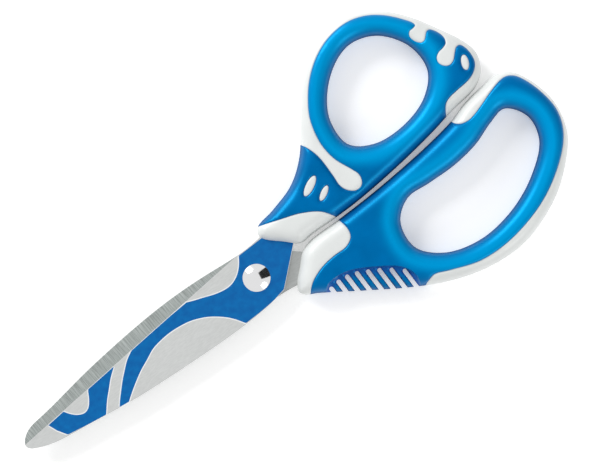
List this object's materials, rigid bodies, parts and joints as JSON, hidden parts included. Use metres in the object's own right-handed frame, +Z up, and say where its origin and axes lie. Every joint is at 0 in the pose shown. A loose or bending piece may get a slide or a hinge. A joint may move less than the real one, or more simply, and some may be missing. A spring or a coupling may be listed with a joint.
{
  "type": "office scissors",
  "caption": "Office scissors with two riveted blades, a round thumb bow, a long finger bow and a ribbed index finger rest.",
  "frame": {"origin": "middle of the whole pair's outline, on the plane that it lies on", "axes": "+X along the closed blades to the tips, +Y to the finger bow, +Z up from the surface, through the rivet's axis direction"},
  "size_m": [0.2096, 0.0964, 0.011],
  "materials": {
    "blade_steel": "satin ground stainless steel",
    "rivet_steel": "polished nickel-plated steel",
    "washer_steel": "plain steel",
    "hard_white": "smooth moulded polypropylene",
    "soft_blue": "satin thermoplastic rubber"
  },
  "bodies": {
    "finger_side": {"rear_blade": "blade_steel", "finger_handle_core": "hard_white", "finger_handle_grip": "soft_blue", "pivot_rivet": "rivet_steel", "pivot_washer": "washer_steel"},
    "thumb_side": {"front_blade": "blade_steel", "thumb_handle_core": "hard_white", "thumb_handle_grip": "soft_blue"}
  },
  "joints": [
    {"name": "blade_pivot", "type": "hinge", "parent": "finger_side", "child": "thumb_side", "pos_m": [0.00975, 0.00359, 0.0055], "axis": [0, 0, 1], "range_deg": [0, 76]}
  ]
}
